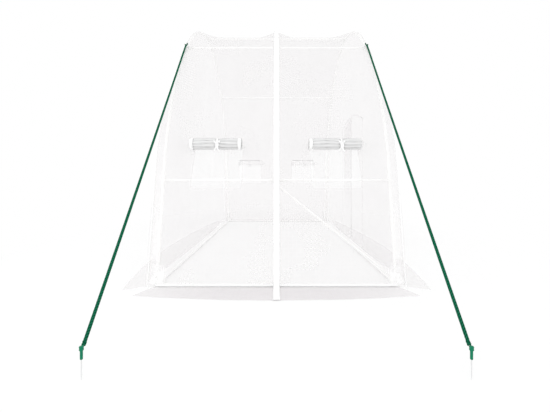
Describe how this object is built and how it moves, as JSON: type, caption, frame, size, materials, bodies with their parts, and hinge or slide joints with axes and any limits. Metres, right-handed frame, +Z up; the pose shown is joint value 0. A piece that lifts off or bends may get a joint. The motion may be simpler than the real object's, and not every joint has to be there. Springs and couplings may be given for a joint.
{
  "type": "tunnel greenhouse tent",
  "caption": "Walk-in tunnel greenhouse tent: arched white tube frame under a translucent film cover with rolled-up mesh windows, a zipped door, ground skirts and guy ropes.",
  "frame": {"origin": "bottom centre of the tent on the ground, under the middle of the ridge, without the guy ropes and pegs", "axes": "+X along the ridge towards the end with the door, +Y from the near long wall with the guy ropes to the far one, +Z up"},
  "size_m": [1.985, 4.174, 2.0712],
  "materials": {
    "frame": "satin white coating",
    "film": "translucent white film",
    "webbing": "matte white webbing",
    "rolled_film": "many layers of film, grey",
    "net": "matte white mesh",
    "zip": "matte grey",
    "rope": "laid dark green rope",
    "peg": "moulded green plastic"
  },
  "bodies": {
    "tent": {"far_skirt": "film", "guy_loop_left": "webbing", "guy_loop_right": "webbing", "guy_rope_left": "rope", "guy_rope_right": "rope", "left_bay_cover": "film", "left_end_rail_far": "frame", "left_end_rail_near": "frame", "left_end_wall": "film", "left_far_ground_rail": "frame", "left_far_shoulder_bar": "frame", "left_far_waist_bar": "frame", "left_far_window_net": "net", "left_far_window_roll": "rolled_film", "left_hoop_crown": "frame", "left_hoop_far_bow": "frame", "left_hoop_far_leg": "frame", "left_hoop_near_bow": "frame", "left_hoop_near_leg": "frame", "left_near_ground_rail": "frame", "left_near_shoulder_bar": "frame", "left_near_waist_bar": "frame", "left_near_window_net": "net", "left_near_window_roll": "rolled_film", "left_ridge_bar": "frame", "left_skirt": "film", "middle_hoop_crown": "frame", "middle_hoop_far_bow": "frame", "middle_hoop_far_leg": "frame", "middle_hoop_near_bow": "frame", "middle_hoop_near_leg": "frame", "middle_tape": "webbing", "near_diagonal_brace": "frame", "near_skirt": "film", "peg_left": "peg", "peg_right": "peg", "right_bay_cover": "film", "right_end_rail_far": "frame", "right_end_rail_near": "frame", "right_end_wall": "film", "right_far_ground_rail": "frame", "right_far_shoulder_bar": "frame", "right_far_waist_bar": "frame", "right_far_window_net": "net", "right_far_window_roll": "rolled_film", "right_hoop_crown": "frame", "right_hoop_far_bow": "frame", "right_hoop_far_leg": "frame", "right_hoop_near_bow": "frame", "right_hoop_near_leg": "frame", "right_near_ground_rail": "frame", "right_near_shoulder_bar": "frame", "right_near_waist_bar": "frame", "right_near_window_net": "net", "right_near_window_roll": "rolled_film", "right_ridge_bar": "frame", "right_skirt": "film"},
    "door_near": {"door_leaf_near": "film"},
    "door_far": {"door_leaf_far": "film"},
    "slider": {"zip_slider": "zip"}
  },
  "joints": [
    {"name": "near_leaf_hinge", "type": "hinge", "parent": "tent", "child": "door_near", "pos_m": [0.76429, -0.45, 0], "axis": [0, 0, -1], "range_deg": [0, 165]},
    {"name": "far_leaf_hinge", "type": "hinge", "parent": "tent", "child": "door_far", "pos_m": [0.76429, 0.45, 0], "axis": [0, 0, 1], "range_deg": [0, 165]},
    {"name": "zip_slide", "type": "slide", "parent": "door_near", "child": "slider", "axis": [0, 0, 1], "range_m": [0, 1.17]}
  ]
}
